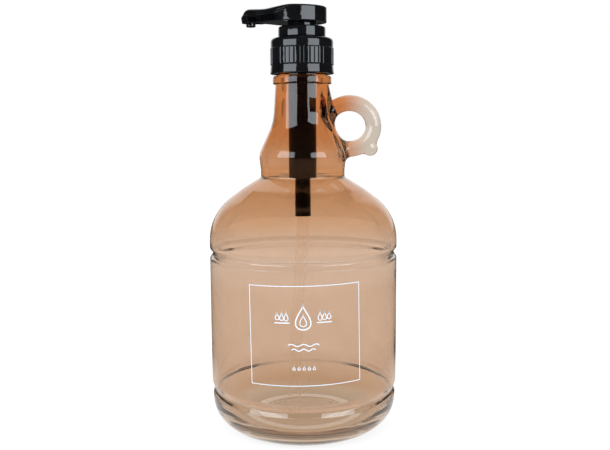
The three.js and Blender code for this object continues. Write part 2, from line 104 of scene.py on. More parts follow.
BALL_R = 2.38
CAGE_TOP = 121.0
ROD = {"collar_r": 4.7, "bottom": 141.9, "collar": 1.1, "seat_top": 143.9, "shank": 1.6, "top": 158.6}
PISTON = {"r": 4.95, "waist": 4.2, "bore": 3.25, "bottom": 143.35, "top": 153.5, "lip": 0.8}
STEM = {"r": 3.65, "bore": 2.3, "stub": 2.95, "bottom": 148.1, "shoulder": 155.0, "top": 184.2}
SPRING = {"r": 4.1, "wire": 0.45, "turns": 8}

DRUM = {"r": 11.1, "x": -4.2, "long": 15.3, "wide": 11.3, "bottom": 183.0, "top": 189.9}
SPOUT = {"tip": -27.7, "half": 4.3, "bottom": 182.8, "top": 188.9, "beak": 5.2, "draft": 0.16}
FLANK = {"leave_x": -10.0, "reach_x": -20.5}
SLOPE = {"top_x": -6, "top_r": 8, "foot_x": -16, "foot_r": 12}
SPOUT_STEP = {"left_x": -17.6, "right_x": -17.1}
HEAD_EDGE = {"low": 0.35, "drum": 0.9, "spout_more": 1.9, "hollow": 0.3, "rim": 0.15}
HEAD_WALL = 1.3
BASE_PLATE = {"low": 183.2, "high": 184.2}
SKIRT = {"r": 6.45, "inner": 5.5, "bottom": 176.6, "roof": 181.9}
LOCK_RIDGE = {"r": 6.8, "lead": 3.2, "turns": 0.8, "bottom": 177.8}
STEM_SOCKET = {"r": 4.9, "bottom": 178.6, "ceiling": 187.0, "top": 188.2}
NOZZLE = {"x": -22.6, "r": 2.1, "bore": 1.3, "bottom": 181.3, "top": 185.5}
CHANNEL = {"z": 185.1, "r": 1.6, "bore": 0.9}

ARC_STEP = math.radians(3.5)
GLASS_SIDES = 160
PUMP_SIDES = 96

# ---------------------------------------------------------------- mesh helpers


def outline(corners, step=ARC_STEP):
    """Points through corners (x, y, radius). A corner with a radius becomes an arc tangent to both sides."""
    points = []
    count = len(corners)
    flat = [np.array(c[:2], float) for c in corners]
    for i, corner in enumerate(corners):
        radius = corner[2] if len(corner) > 2 else 0
        if not radius:
            points.append(flat[i])
            continue
        before = flat[i - 1] - flat[i]
        after = flat[(i + 1) % count] - flat[i]
        before /= np.linalg.norm(before)
        after /= np.linalg.norm(after)
        half = math.acos(float(np.clip(before @ after, -1, 1))) / 2
        middle = before + after
        centre = flat[i] + middle / np.linalg.norm(middle) * radius / math.sin(half)
        start = flat[i] + before * radius / math.tan(half) - centre
        end = flat[i] + after * radius / math.tan(half) - centre
        first = math.atan2(start[1], start[0])
        turn = math.atan2(start[0] * end[1] - start[1] * end[0], start @ end)
        steps = max(2, math.ceil(abs(turn) / step))
        for k in range(steps + 1):
            angle = first + turn * k / steps
            points.append(centre + radius * np.array((math.cos(angle), math.sin(angle))))
    return np.array(points)


def subdivided(points, spacing):
    """The same line with no two points further apart than spacing."""
    parts = [points[:1]]
    for a, b in zip(points[:-1], points[1:]):
        steps = max(1, math.ceil(float(np.linalg.norm(b - a)) / spacing))
        parts.append(a + (b - a) * (np.arange(1, steps + 1) / steps)[:, None])
    return np.concatenate(parts)


def joined_rings(rings, closed=False):
    """Faces between neighbouring rings of vertex numbers. A ring of one vertex is a pole."""
    faces = []
    pairs = list(zip(rings[:-1], rings[1:]))
    if closed:
        pairs.append((rings[-1], rings[0]))
    for low, high in pairs:
        count = max(len(low), len(high))
        for j in range(count):
            k = (j + 1) % count
            if len(low) == 1 and len(high) == 1:
                continue
            if len(low) == 1:
                faces.append((low[0], high[k], high[j]))
            elif len(high) == 1:
                faces.append((low[j], low[k], high[0]))
            else:
                faces.append((low[j], low[k], high[k], high[j]))
    return faces


def mesh_object(name, verts, faces):
    """An object of these vertices, in millimetres, and faces, with its normals pointing out."""
    mesh = bpy.data.meshes.new(name)
    mesh.from_pydata((np.asarray(verts, float) * MM).tolist(), [], faces)
    bm = bmesh.new()
    bm.from_mesh(mesh)
    bmesh.ops.recalc_face_normals(bm, faces=bm.faces)
    bm.to_mesh(mesh)
    bm.free()
    obj = bpy.data.objects.new(name, mesh)
    bpy.context.scene.collection.objects.link(obj)
    return obj


def turned(name, corners, sides=PUMP_SIDES, spacing=50.0, radius_at=None):
    """Solid of revolution about the Z axis of an outline (r, z, radius), which ends on the axis or closes.
    radius_at(r, z, angle) may move the surface in or out."""
    closed = corners[0][0] > 0
    points = outline(corners)
    points = subdivided(np.vstack((points, points[:1])) if closed else points, spacing)
    if closed:
        points = points[:-1]
    angles = 2 * math.pi * np.arange(sides) / sides
    verts, rings = [], []
    for r, z in points:
        if r < 1e-6:
            rings.append([len(verts)])
            verts.append((0.0, 0.0, z))
            continue
        reach = np.full(sides, r) if radius_at is None else radius_at(r, z, angles)
        rings.append(list(range(len(verts), len(verts) + sides)))
        verts.extend(zip(reach * np.cos(angles), reach * np.sin(angles), np.full(sides, z)))
    return mesh_object(name, verts, joined_rings(rings, closed))


def wound(name, section, turns, steps_per_turn, height, root=0.0, fade=lambda t: 1.0):
    """Bar with a section of (axial, radial) points, wound about the Z axis."""
    steps = round(turns * steps_per_turn)
    verts, rings = [], []
    for i in range(steps + 1):
        t = i / steps
        angle = 2 * math.pi * turns * t
        rings.append(list(range(len(verts), len(verts) + len(section))))
        for axial, radial in section:
            r = root + (radial - root) * fade(t)
            verts.append((r * math.cos(angle), r * math.sin(angle), height(t) + axial))
    faces = joined_rings(rings) + [tuple(rings[0]), tuple(rings[-1])]
    return mesh_object(name, verts, faces)


def thread(name, root, crest, bottom, pitch, turns, root_width, crest_width):
    """Screw thread with softened crest that runs out at both ends."""
    section = [
        (-root_width / 2, root),
        (root_width / 2, root),
        (crest_width / 2 + 0.12, crest - (crest - root) * 0.22),
        (crest_width / 2 - 0.1, crest),
        (-crest_width / 2 + 0.1, crest),
        (-crest_width / 2 - 0.12, crest - (crest - root) * 0.22),
    ]
    return wound(
        name,
        section,
        turns,
        72,
        lambda t: bottom + pitch * turns * t,
        root,
        lambda t: max(0.15, min(1.0, t / 0.1, (1 - t) / 0.1)),
    )


def swept(name, path, radius, sides, bore=0.0):
    """Round bar or tube along points of the XZ plane."""
    path = np.asarray(path, float)
    along = np.gradient(path, axis=0)
    along /= np.linalg.norm(along, axis=1)[:, None]
    across = np.stack((along[:, 1], -along[:, 0]), axis=1)
    angles = 2 * math.pi * np.arange(sides) / sides
    verts, outer, inner = [], [], []

    def ring(i, r, into):
        into.append(list(range(len(verts), len(verts) + sides)))
        for a in angles:
            x, z = path[i] + across[i] * r * math.cos(a)
            verts.append((x, r * math.sin(a), z))

    for i in range(len(path)):
        ring(i, radius, outer)
    if bore:
        for i in range(len(path)):
            ring(i, bore, inner)
        faces = joined_rings(outer + inner[::-1], closed=True)
    else:
        faces = joined_rings(outer) + [tuple(outer[0]), tuple(outer[-1])]
    return mesh_object(name, verts, faces)


def combined(target, tool, operation="UNION"):
    """target with tool added to it or taken from it. The tool is used up."""
    modifier = target.modifiers.new("combine", "BOOLEAN")
    modifier.operation = operation
    modifier.object = tool
    modifier.solver = "MANIFOLD"
    return applied(target, tool)


def applied(target, *used):
    """target with its modifiers applied, and the objects they used removed."""
    graph = bpy.context.evaluated_depsgraph_get()
    mesh = bpy.data.meshes.new_from_object(target.evaluated_get(graph))
    target.modifiers.clear()
    target.data = mesh
    for obj in used:
        bpy.data.objects.remove(obj)
    return target


def points_of(obj):
    """The vertices of an object, in millimetres."""
    flat = np.empty(len(obj.data.vertices) * 3)
    obj.data.vertices.foreach_get("co", flat)
    return flat.reshape(-1, 3) / MM


def put_points(obj, points):
    obj.data.vertices.foreach_set("co", (points * MM).ravel())
    obj.data.update()


def smooth_edges(obj, degrees=35):
    """Smooth shading, with edges sharper than this kept crisp."""
    obj.data.shade_smooth()
    obj.data.set_sharp_from_angle(angle=math.radians(degrees))


# ---------------------------------------------------------------- distance fields


def line_distance(points, line):
    """Distance of 2D points from a line of points."""
    starts, steps = line[:-1], np.diff(line, axis=0)
    lengths = np.maximum((steps**2).sum(1), 1e-12)
    result = np.empty(len(points))
    for first in range(0, len(points), 4000):
        block = points[first : first + 4000]
        gaps = block[:, None] - starts
        t = np.clip((gaps * steps).sum(2) / lengths, 0, 1)
        result[first : first + 4000] = np.sqrt(((gaps - steps * t[..., None]) ** 2).sum(2)).min(1)
    return result


def shape_distance(points, polygon):
    """Signed distance of 2D points from a closed polygon, negative inside."""
    closed = np.vstack((polygon, polygon[:1]))
    inside = np.zeros(len(points), bool)
    for (ax, ay), (bx, by) in zip(closed[:-1], closed[1:]):
        if ay == by:
            continue
        spans = (points[:, 1] < ay) != (points[:, 1] < by)
        inside ^= spans & (points[:, 0] < ax + (points[:, 1] - ay) * (bx - ax) / (by - ay))
    return np.where(inside, -1, 1) * line_distance(points, closed)


def soft_union(a, b, softness):
    overlap = np.maximum(softness - np.abs(a - b), 0) / softness
    return np.minimum(a, b) - overlap**2 * softness / 4


def slope_of(field, points, reach=0.04):
    """Gradient of a distance field at points."""
    parts = []
    for axis in range(3):
        shift = np.zeros(3)
        shift[axis] = reach
        parts.append((field(points + shift) - field(points - shift)) / (2 * reach))
    return np.stack(parts, axis=1)


def settled(field, points, rounds=3):
    """Points moved along the field's slope until they lie on its surface."""
    for _ in range(rounds):
        slope = slope_of(field, points)
        size = np.maximum((slope**2).sum(1), 1e-3)
        points = points - slope * (field(points) / size)[:, None]
    return points


# ---------------------------------------------------------------- glass


def groove(size, wall_r):
    z, half, depth = size["z"], size["half"], size["depth"]
    return [
        (wall_r, z - half, 0.5),
        (wall_r - depth, z, half / 2),
        (wall_r, z + half, 0.5),
    ]


def glass_outside():
    """Outline of the bottle's outside, from the middle of the base up to the mouth."""
    return [
        (0, PUSH_UP),
        (RESTING_RING_R - 6, PUSH_UP - 0.6, 8),
        (RESTING_RING_R, 0, 1.5),
        (BAND_R, 0, HEEL_R),
        *groove(LOWER_GROOVE, BAND_R),
        (BODY_R, LOWER_GROOVE["z"] + 3.6, 3),
        *groove(UPPER_GROOVE, BODY_R),
        (BODY_R, DOME_TOP_Z, DOME_R),
        (*DOME_SWELL, 25),
        (COLLAR_WAIST_R, SHOULDER_Z, 1.2),
        (COLLAR_WAIST_R, SHOULDER_Z + 3.3, 5),
        (COLLAR_BULGE["r"], COLLAR_BULGE["z"], 8),
        (NECK["r"], NECK["z"], 25),
        (NECK_TOP["r"], NECK_TOP["z"]),
        (BEAD["r"], BEAD["low"], 0.6),
        (BEAD["r"], BEAD["high"], 0.8),
        (FINISH_R, BEAD["high"], 0.4),
        (FINISH_R, MOUTH_Z, 0.7),
        (0, MOUTH_Z),
    ]


def glass_inside():
    """Outline of the hollow, from the middle of the floor up past the mouth."""
    inner_r = BODY_R - GLASS_WALL
    floor_z = PUSH_UP + BASE_THICK
    return [
        (0, floor_z),
        (RESTING_RING_R, floor_z - 1, 20),
        (inner_r, floor_z - 1, HEEL_R - 4),
        (inner_r, UPPER_GROOVE["z"] - 3.2, 2),
        (inner_r - 1, UPPER_GROOVE["z"], 1.6),
        (inner_r, UPPER_GROOVE["z"] + 3.2, 2),
        (inner_r, DOME_TOP_Z - 1.35, DOME_R - GLASS_WALL),
        (COLLAR_WAIST_R - 2.55, SHOULDER_Z - 1.1, 1),
        (COLLAR_WAIST_R - 2.55, SHOULDER_Z + 2, 2),
        (COLLAR_BULGE["r"] - 2.8, COLLAR_BULGE["z"], 8),
        (NECK_BORE_R, NECK["z"] + 4, 22),
        (NECK_BORE_R, MOUTH_Z + 1),
        (0, MOUTH_Z + 1),
    ]


OUTSIDE = outline(glass_outside())
INSIDE = outline(glass_inside())
NECK_LINE = OUTSIDE[(OUTSIDE[:, 1] > 98) & (OUTSIDE[:, 1] < 155.3)]


def loop_line(steps=180):
    angles = 2 * math.pi * np.arange(steps + 1) / steps
    return np.stack(
        (LOOP["x"] + LOOP["wide"] * np.cos(angles), LOOP["z"] + LOOP["tall"] * np.sin(angles)), axis=1
    )


def neck_field(points):
    """Distance from the neck with its finger loop and thumb rest, all run softly into each other."""
    across = np.hypot(points[:, 0], points[:, 1])
    flat = np.stack((across, points[:, 2]), axis=1)
    wall_r = np.interp(points[:, 2], NECK_LINE[:, 1], NECK_LINE[:, 0])
    neck = np.where(across < wall_r, -1, 1) * line_distance(flat, NECK_LINE)
    side = points[:, 1] / LOOP["flatness"]
    ring = np.hypot(line_distance(points[:, [0, 2]], loop_line()), side) - LOOP["tube"]
    rest = (
        np.sqrt((points[:, 0] - THUMB_REST["x"]) ** 2 + side**2 + (points[:, 2] - THUMB_REST["z"]) ** 2)
        - THUMB_REST["r"]
    )
    return soft_union(neck, soft_union(ring, rest, REST_FILLET), LOOP_FILLET)


def loop_ring():
    """The finger loop as a plain ring, before it is run into the neck."""
    around, about = 112, 40
    verts, rings = [], []
    for i in range(around):
        u = 2 * math.pi * i / around
        out = np.array((math.cos(u) / LOOP["wide"], math.sin(u) / LOOP["tall"]))
        out /= np.linalg.norm(out)
        middle = np.array((LOOP["x"] + LOOP["wide"] * math.cos(u), LOOP["z"] + LOOP["tall"] * math.sin(u)))
        rings.append(list(range(len(verts), len(verts) + about)))
        for j in range(about):
            v = 2 * math.pi * j / about
            x, z = middle + out * LOOP["tube"] * math.cos(v)
            verts.append((x, LOOP["flatness"] * LOOP["tube"] * math.sin(v), z))
    return mesh_object("loop", verts, joined_rings(rings, closed=True))


def half_circle(radius, centre_z, steps):
    """Outline of a ball on the Z axis, from its lowest point to its highest."""
    bow = []
    for k in range(steps + 1):
        angle = math.pi * k / steps
        r = radius * math.sin(angle) if 0 < k < steps else 0
        bow.append((r, centre_z - radius * math.cos(angle)))
    return bow


def thumb_rest():
    rest = turned("rest", half_circle(THUMB_REST["r"], 0.0, 14), 36)
    points = points_of(rest)
    points[:, 1] *= LOOP["flatness"]
    put_points(rest, points + (THUMB_REST["x"], 0, THUMB_REST["z"]))
    return rest


def glass_jug():
    jug = turned("glass_jug", glass_outside(), GLASS_SIDES, 1.1)
    jug = combined(jug, loop_ring())
    jug = combined(jug, thumb_rest())
    points = points_of(jug)
    near = (points[:, 0] > 3) & (points[:, 2] > 112) & (points[:, 2] < 154)
    points[near] = settled(neck_field, points[near])
    put_points(jug, points)
    neck_thread = thread(
        "neck_thread",
        FINISH_R - 0.3,
        NECK_THREAD_R,
        THREAD_TOP_Z - THREAD_PITCH * THREAD_TURNS,
        THREAD_PITCH,
        THREAD_TURNS,
        1.7,
        0.8,
    )
    jug = combined(jug, neck_thread)
    jug = combined(jug, turned("hollow", glass_inside(), GLASS_SIDES, 2.2), "DIFFERENCE")
    finish_glass(jug)
    return jug


def finish_glass(jug):
    """Marks which points are on the outside and gives the neck its exact normals."""
    mesh = jug.data
    mesh.shade_smooth()
    points = points_of(jug)
    flat = np.stack((np.hypot(points[:, 0], points[:, 1]), points[:, 2]), axis=1)
    inner = line_distance(flat, INSIDE) < 0.04
    outside = mesh.attributes.new("outside", "FLOAT", "POINT")
    outside.data.foreach_set("value", np.where(inner, 0.0, 1.0))
    mesh.set_sharp_from_angle(angle=math.radians(35))
    normals = np.empty(len(mesh.loops) * 3)
    mesh.corner_normals.foreach_get("vector", normals)
    normals = normals.reshape(-1, 3)
    corners = np.empty(len(mesh.loops), int)
    mesh.loops.foreach_get("vertex_index", corners)
    near = (~inner & (points[:, 0] > 3) & (points[:, 2] > 117) & (points[:, 2] < 154))[corners]
    slope = slope_of(neck_field, points[corners[near]])
    normals[near] = slope / np.linalg.norm(slope, axis=1)[:, None]
    mesh.normals_split_custom_set(normals.tolist())


# ---------------------------------------------------------------- label

LABEL = {"left": -23.25, "right": 24.7, "low": 30.7, "high": 72.7, "line": 0.31, "tilt": math.radians(0.95)}
PRINT_LOW, PRINT_HIGH = 0.02, 0.06  # the print's underside and top above the glass


def stroke(points, width, closed=False):
    """Edges of a line of this width, as points to its left and to its right."""
    points = np.asarray(points, float)
    if closed:
        points = np.vstack((points[-2:-1], points, points[1:2]))
    along = np.diff(points, axis=0)
    along /= np.linalg.norm(along, axis=1)[:, None]
    sides = np.stack((-along[:, 1], along[:, 0]), axis=1)
    mitres = sides[:-1] + sides[1:]
    mitres /= (mitres * sides[:-1]).sum(1)[:, None]
    offsets = np.vstack((sides[:1], mitres, sides[-1:])) * width / 2
    left, right = points + offsets, points - offsets
    return (left[1:-1], right[1:-1]) if closed else (left, right)


def droplet(x, z, height, width):
    """Outline of a drop, with its point up."""
    angles = np.linspace(0, 2 * math.pi, 49)
    bulge = np.sin(angles) * np.sin(angles / 2) ** 1.6
    return np.stack((x + width * 0.62 * bulge, z + height / 2 * np.cos(angles)), axis=1)


def ripple(x, z, length, height):
    t = np.linspace(-1, 1, 33)
    return np.stack((x + length / 2 * t, z + height / 2 * np.cos(2.5 * math.pi * t)), axis=1)


def label_strokes():
    """Lines of the print as (points, width, closed): a frame, a drop between two sprigs, and ripples."""
    left, right, low, high = (LABEL[k] for k in ("left", "right", "low", "high"))
    frame_line = [(left, low), (right, low), (right, high), (left, high), (left, low)]
    strokes = [(subdivided(np.array(frame_line, float), 1.5), LABEL["line"], True)]
    strokes.append((droplet(0, 59.5, 10.0, 7.4), 0.5, True))
    strokes.append((droplet(0, 58.2, 4.6, 3.2), 0.35, True))
    for side in (-1, 1):
        strokes.append((subdivided(np.array([(side * 5.6, 57.4), (side * 12.0, 57.4)]), 1.0), 0.45, False))
        for k in range(3):
            strokes.append((droplet(side * (7.0 + 1.9 * k), 60.0, 3.4 - 0.4 * k, 1.9), 0.34, True))
    for k in range(2):
        strokes.append((ripple(0, 48.0 - 2.0 * k, 13.0 - 3.0 * k, 0.9), 0.4, False))
    for k in range(-2, 3):
        strokes.append((droplet(2.1 * k, 38.2, 1.4, 1.2), 0.3, True))
    return strokes


def label_print():
    """The white print, as thin strips that lie on the wall."""
    turn = LABEL["tilt"]
    middle = np.array(((LABEL["left"] + LABEL["right"]) / 2, (LABEL["low"] + LABEL["high"]) / 2))
    spin = np.array(((math.cos(turn), -math.sin(turn)), (math.sin(turn), math.cos(turn))))
    verts, faces = [], []
    for points, width, closed in label_strokes():
        left, right = (((edge - middle) @ spin.T) + middle for edge in stroke(points, width, closed))
        rings = []
        for a, b in zip(left, right):
            rings.append(list(range(len(verts), len(verts) + 4)))
            for (s, z), lift in ((a, PRINT_LOW), (b, PRINT_LOW), (b, PRINT_HIGH), (a, PRINT_HIGH)):
                r = BODY_R + lift
                angle = s / BODY_R
                verts.append((r * math.sin(angle), -r * math.cos(angle), z))
        if closed:
            rings = rings[:-1]
            faces += joined_rings(rings, closed=True)
        else:
            faces += joined_rings(rings) + [tuple(rings[0]), tuple(rings[-1])]
    return mesh_object("label_print", verts, faces)


# ---------------------------------------------------------------- pump


def closure_cap():
    """Screw closure: a plain band at the top, a grooved grip, and a skirt that flares a little."""

    def gripped(r, z, angles):
        if r < CLOSURE["r"] - 0.9:
            return np.full(len(angles), r)
        rise = min((z - RIBS["low"]) / 0.35, (RIBS["high"] - z) / 0.35)
        swell = (RIBS["r"] - CLOSURE["r"]) * min(max(rise + 0.5, 0), 1)
        wave = np.abs(np.cos(RIBS["count"] * angles / 2))
        return r + swell * (1 - 1.6 * np.clip(1 - wave / 0.42, 0, 1) ** 1.5)

    shell = [
        (CLOSURE["bore"], CLOSURE["bottom"], 0.2),
        (CLOSURE["flare"], CLOSURE["bottom"], 0.45),
        (CLOSURE["r"], RIBS["low"] - 0.2, 6),
        (CLOSURE["r"], CLOSURE["top"], 1.7),
        (CLOSURE["hole"], CLOSURE["top"], 0.25),
        (CLOSURE["hole"], CLOSURE["top"] - CLOSURE["lid"], 0.2),
        (CLOSURE["bore"], CLOSURE["top"] - CLOSURE["lid"], 0.4),
    ]
    cap = turned("closure_cap", shell, RIBS["count"] * 10, 0.18, gripped)
    inner_thread = thread(
        "inner_thread",
        CLOSURE["bore"] + 0.3,
        CLOSURE_THREAD_R,
        THREAD_TOP_Z - THREAD_PITCH * (THREAD_TURNS + 0.5),
        THREAD_PITCH,
        THREAD_TURNS,
        1.5,
        0.7,
    )
    return combined(cap, inner_thread)


FLANGE_TOP = CLOSURE["top"] - CLOSURE["lid"] - CLEARANCE
FLANGE_BOTTOM = FLANGE_TOP - FLANGE["thick"]


def housing():
    socket_top = TUBE_SOCKET["bottom"] + TUBE_SOCKET["depth"]
    seat_top = SEAT["z"] + SEAT["cone"] - SEAT["hole"]
    return turned(
        "housing",
        [
            (TUBE_SOCKET["bore"], TUBE_SOCKET["bottom"], 0.1),
            (TUBE_SOCKET["r"], TUBE_SOCKET["bottom"], 0.15),
            (TUBE_SOCKET["r"], CYLINDER["bottom"] - 0.3, 0.3),
            (CYLINDER["r"] - 0.5, CYLINDER["bottom"], 0.3),
            (CYLINDER["r"], CYLINDER["bottom"] + 0.8, 0.3),
            (CYLINDER["r"], FLANGE_BOTTOM, 0.4),
            (FLANGE["r"], FLANGE_BOTTOM, 0.2),
            (FLANGE["r"], FLANGE_TOP, 0.2),
            (COLLAR["r"], FLANGE_TOP, 0.2),
            (COLLAR["r"], COLLAR["top"], 0.3),
            (COLLAR["inner"], COLLAR["top"], 0.2),
            (COLLAR["inner"], FLANGE_TOP),
            (CYLINDER["bore"], FLANGE_TOP, 0.3),
            (CYLINDER["bore"], seat_top),
            (SEAT["cone"], seat_top),
            (SEAT["hole"], SEAT["z"], 0.3),
            (SEAT["hole"], socket_top),
            (TUBE_SOCKET["bore"], socket_top),
        ],
    )


def gasket():
    inner_r = CYLINDER["r"] + 0.45
    low, high = MOUTH_Z + CLEARANCE, FLANGE_BOTTOM - CLEARANCE
    r = FLANGE["r"]
    return turned("gasket", [(inner_r, low, 0.2), (r, low, 0.3), (r, high, 0.3), (inner_r, high, 0.2)])


def trim_ring():
    ring_bottom = CLOSURE["top"] + CLEARANCE
    floor_bottom = FLANGE_TOP + CLEARANCE
    guide_r = CYLINDER["bore"] - CLEARANCE
    guide_bore = STEM["r"] + CLEARANCE
    return turned(
        "trim_ring",
        [
            (CHAPLET["r"], ring_bottom, 0.35),
            (CHAPLET["r"], CHAPLET["top"], 0.7),
            (CHAPLET["bore"], CHAPLET["top"], 0.35),
            (CHAPLET["bore"], floor_bottom + 0.9, 0.3),
            (guide_bore, floor_bottom + 0.9, 0.15),
            (guide_bore, CHAPLET["guide_bottom"], 0.15),
            (guide_r, CHAPLET["guide_bottom"], 0.2),
            (guide_r, floor_bottom),
            (CHAPLET["sleeve"], floor_bottom, 0.2),
            (CHAPLET["sleeve"], CHAPLET["top"] - CHAPLET["web"]),
            (COLLAR["r"] + CLEARANCE, CHAPLET["top"] - CHAPLET["web"]),
            (COLLAR["r"] + CLEARANCE, ring_bottom, 0.15),
        ],
    )


def tube_path(steps=16):
    """Smooth line through TUBE_ROUTE whose pace follows the gaps between its points."""
    route = np.array(TUBE_ROUTE, float)
    route = np.vstack((2 * route[0] - route[1], route, 2 * route[-1] - route[-2]))
    parts = []
    for p0, p1, p2, p3 in zip(route[:-3], route[1:-2], route[2:-1], route[3:]):
        gaps = [math.sqrt(np.linalg.norm(b - a)) for a, b in ((p0, p1), (p1, p2), (p2, p3))]
        leave = ((p1 - p0) / gaps[0] - (p2 - p0) / (gaps[0] + gaps[1]) + (p2 - p1) / gaps[1]) * gaps[1]
        reach = ((p2 - p1) / gaps[1] - (p3 - p1) / (gaps[1] + gaps[2]) + (p3 - p2) / gaps[2]) * gaps[1]
        t = (np.arange(steps) / steps)[:, None]
        parts.append(
            p1
            + leave * t
            + (3 * (p2 - p1) - 2 * leave - reach) * t**2
            + (2 * (p1 - p2) + leave + reach) * t**3
        )
    parts.append(route[-2:-1])
    return np.concatenate(parts)


def ball():
    centre_z = SEAT["z"] - SEAT["hole"] + (BALL_R + CLEARANCE) * math.sqrt(2)
    return turned("valve_ball", half_circle(BALL_R, centre_z, 20), 40)


def coil():
    bottom = CAGE_TOP + CLEARANCE + SPRING["wire"]
    top = ROD["bottom"] - CLEARANCE - SPRING["wire"]
    closed_height = 2.2 * SPRING["wire"]
    closed_part = 1 / SPRING["turns"]

    def height(t):
        if t < closed_part:
            return bottom + closed_height * t / closed_part
        if t > 1 - closed_part:
            return top - closed_height * (1 - t) / closed_part
        share = (t - closed_part) / (1 - 2 * closed_part)
        return bottom + closed_height + (top - bottom - 2 * closed_height) * share

    angles = 2 * math.pi * np.arange(12) / 12
    wire = [(SPRING["wire"] * math.cos(a), SPRING["r"] + SPRING["wire"] * math.sin(a)) for a in angles]
    return wound("coil_spring", wire, SPRING["turns"], 40, height)


def rod():
    collar_top = ROD["bottom"] + ROD["collar"]
    return turned(
        "valve_rod",
        [
            (0, ROD["bottom"]),
            (ROD["collar_r"], ROD["bottom"], 0.2),
            (ROD["collar_r"], collar_top, 0.2),
            (PISTON["bore"] + 0.35, collar_top),
            (PISTON["bore"] - 0.25, ROD["seat_top"], 0.15),
            (ROD["shank"], ROD["seat_top"], 0.3),
            (ROD["shank"], ROD["top"], 0.3),
            (0, ROD["top"]),
        ],
        64,
    )


def piston_sleeve():
    lip, low, high = PISTON["lip"], PISTON["bottom"], PISTON["top"]
    return turned(
        "piston_sleeve",
        [
            (PISTON["bore"] + 0.7, low, 0.1),
            (PISTON["r"], low, 0.15),
            (PISTON["r"], low + lip, 0.3),
            (PISTON["waist"], low + 2 * lip, 0.6),
            (PISTON["waist"], high - 2 * lip, 0.6),
            (PISTON["r"], high - lip, 0.3),
            (PISTON["r"], high, 0.15),
            (PISTON["bore"], high, 0.1),
            (PISTON["bore"], low + 1.2),
        ],
        64,
    )


def hollow_stem():
    return turned(
        "hollow_stem",
        [
            (STEM["bore"], STEM["bottom"], 0.1),
            (STEM["stub"], STEM["bottom"], 0.2),
            (STEM["stub"], STEM["shoulder"], 0.15),
            (STEM["r"], STEM["shoulder"], 0.2),
            (STEM["r"], STEM["top"], 0.3),
            (STEM["bore"], STEM["top"], 0.15),
        ],
        64,
    )


# ---------------------------------------------------------------- pump head


def arc(x, y, radius, start, end, steps):
    angles = np.linspace(start, end, steps + 1)
    return np.stack((x + radius * np.cos(angles), y + radius * np.sin(angles)), axis=1)


def head_plan(inset):
    """Plan of the head: an oval drum whose left side runs in a hollow curve into a narrow spout."""
    a, b = DRUM["long"] - inset, DRUM["wide"] - inset
    half = SPOUT["half"] - inset
    leave, reach = FLANK["leave_x"], FLANK["reach_x"]
    u = (leave - DRUM["x"]) / a
    start, slope = b * math.sqrt(1 - u * u), -b / a * u / math.sqrt(1 - u * u)
    turn = math.acos(u)
    t = np.linspace(0, 1, 15)[1:-1]
    length = reach - leave
    flank_y = (
        (2 * t**3 - 3 * t**2 + 1) * start
        + (t**3 - 2 * t**2 + t) * length * slope
        + (3 * t**2 - 2 * t**3) * half
    )
    flank = np.stack((leave + length * t, flank_y), axis=1)
    oval = arc(0, 0, 1, -turn, turn, 64) * (a, b) + (DRUM["x"], 0)
    end_x = SPOUT["tip"] + inset + half
    tip = arc(end_x, 0, half, math.pi / 2, 1.5 * math.pi, 24)
    return np.concatenate((oval, flank, tip, flank[::-1] * (1, -1)))


def head_side(inset):
    """Side view of the head: flat drum top, a slope down to the spout and a beak curved down at its tip."""
    low = DRUM["bottom"] - 1 if inset else DRUM["bottom"]
    spout_low = low if inset else SPOUT["bottom"]
    return outline(
        [
            (DRUM["r"] + 4, low),
            (DRUM["r"] + 4, DRUM["top"] - inset),
            (SLOPE["top_x"], DRUM["top"] - inset, SLOPE["top_r"]),
            (SLOPE["foot_x"], SPOUT["top"] - inset, SLOPE["foot_r"]),
            (SPOUT["tip"] + inset, SPOUT["top"] - inset, SPOUT["beak"]),
            (SPOUT["tip"] + inset, spout_low),
            (SPOUT_STEP["left_x"], spout_low),
            (SPOUT_STEP["right_x"], low),
        ]
    )


HEAD_PLANS = [head_plan(0), head_plan(HEAD_WALL)]
HEAD_SIDES = [head_side(0), head_side(HEAD_WALL)]


def head_field(points):
    """Distance from the hollow cover. The spout's edges are rounder than the drum's and its sides draw in."""
    plan = points[:, :2]
    side = points[:, [0, 2]]
    spout = np.clip((-points[:, 0] - 4) / 6, 0, 1)
    radius = HEAD_EDGE["drum"] + HEAD_EDGE["spout_more"] * spout
    high = np.clip((points[:, 2] - DRUM["bottom"] - 2.0) / 1.5, 0, 1)
    radius = HEAD_EDGE["low"] + (radius - HEAD_EDGE["low"]) * high
    lean = SPOUT["draft"] * spout * (DRUM["top"] - points[:, 2])
    fields = []
    for plan_line, side_line, edge in zip(HEAD_PLANS, HEAD_SIDES, (radius, HEAD_EDGE["hollow"])):
        across = shape_distance(plan, plan_line) + lean
        fields.append(both_inside(across, shape_distance(side, side_line), edge))
    outer, inner = fields
    return both_inside(outer, -inner, HEAD_EDGE["rim"])


def both_inside(a, b, radius):
    """The part that is inside both fields, with the edge where they meet rounded."""
    outside = np.hypot(np.maximum(a + radius, 0), np.maximum(b + radius, 0))
    return np.minimum(np.maximum(a, b), -radius) + outside


def extruded(name, polygon, low, high, upright):
    """Prism of a 2D polygon, along Z if upright and along Y otherwise."""
    verts = []
    for level in (low, high):
        verts += [(x, y, level) if upright else (x, level, y) for x, y in polygon]
    count = len(polygon)
    rings = [list(range(count)), list(range(count, 2 * count))]
    return mesh_object(name, verts, joined_rings(rings) + [tuple(rings[0]), tuple(rings[1])])


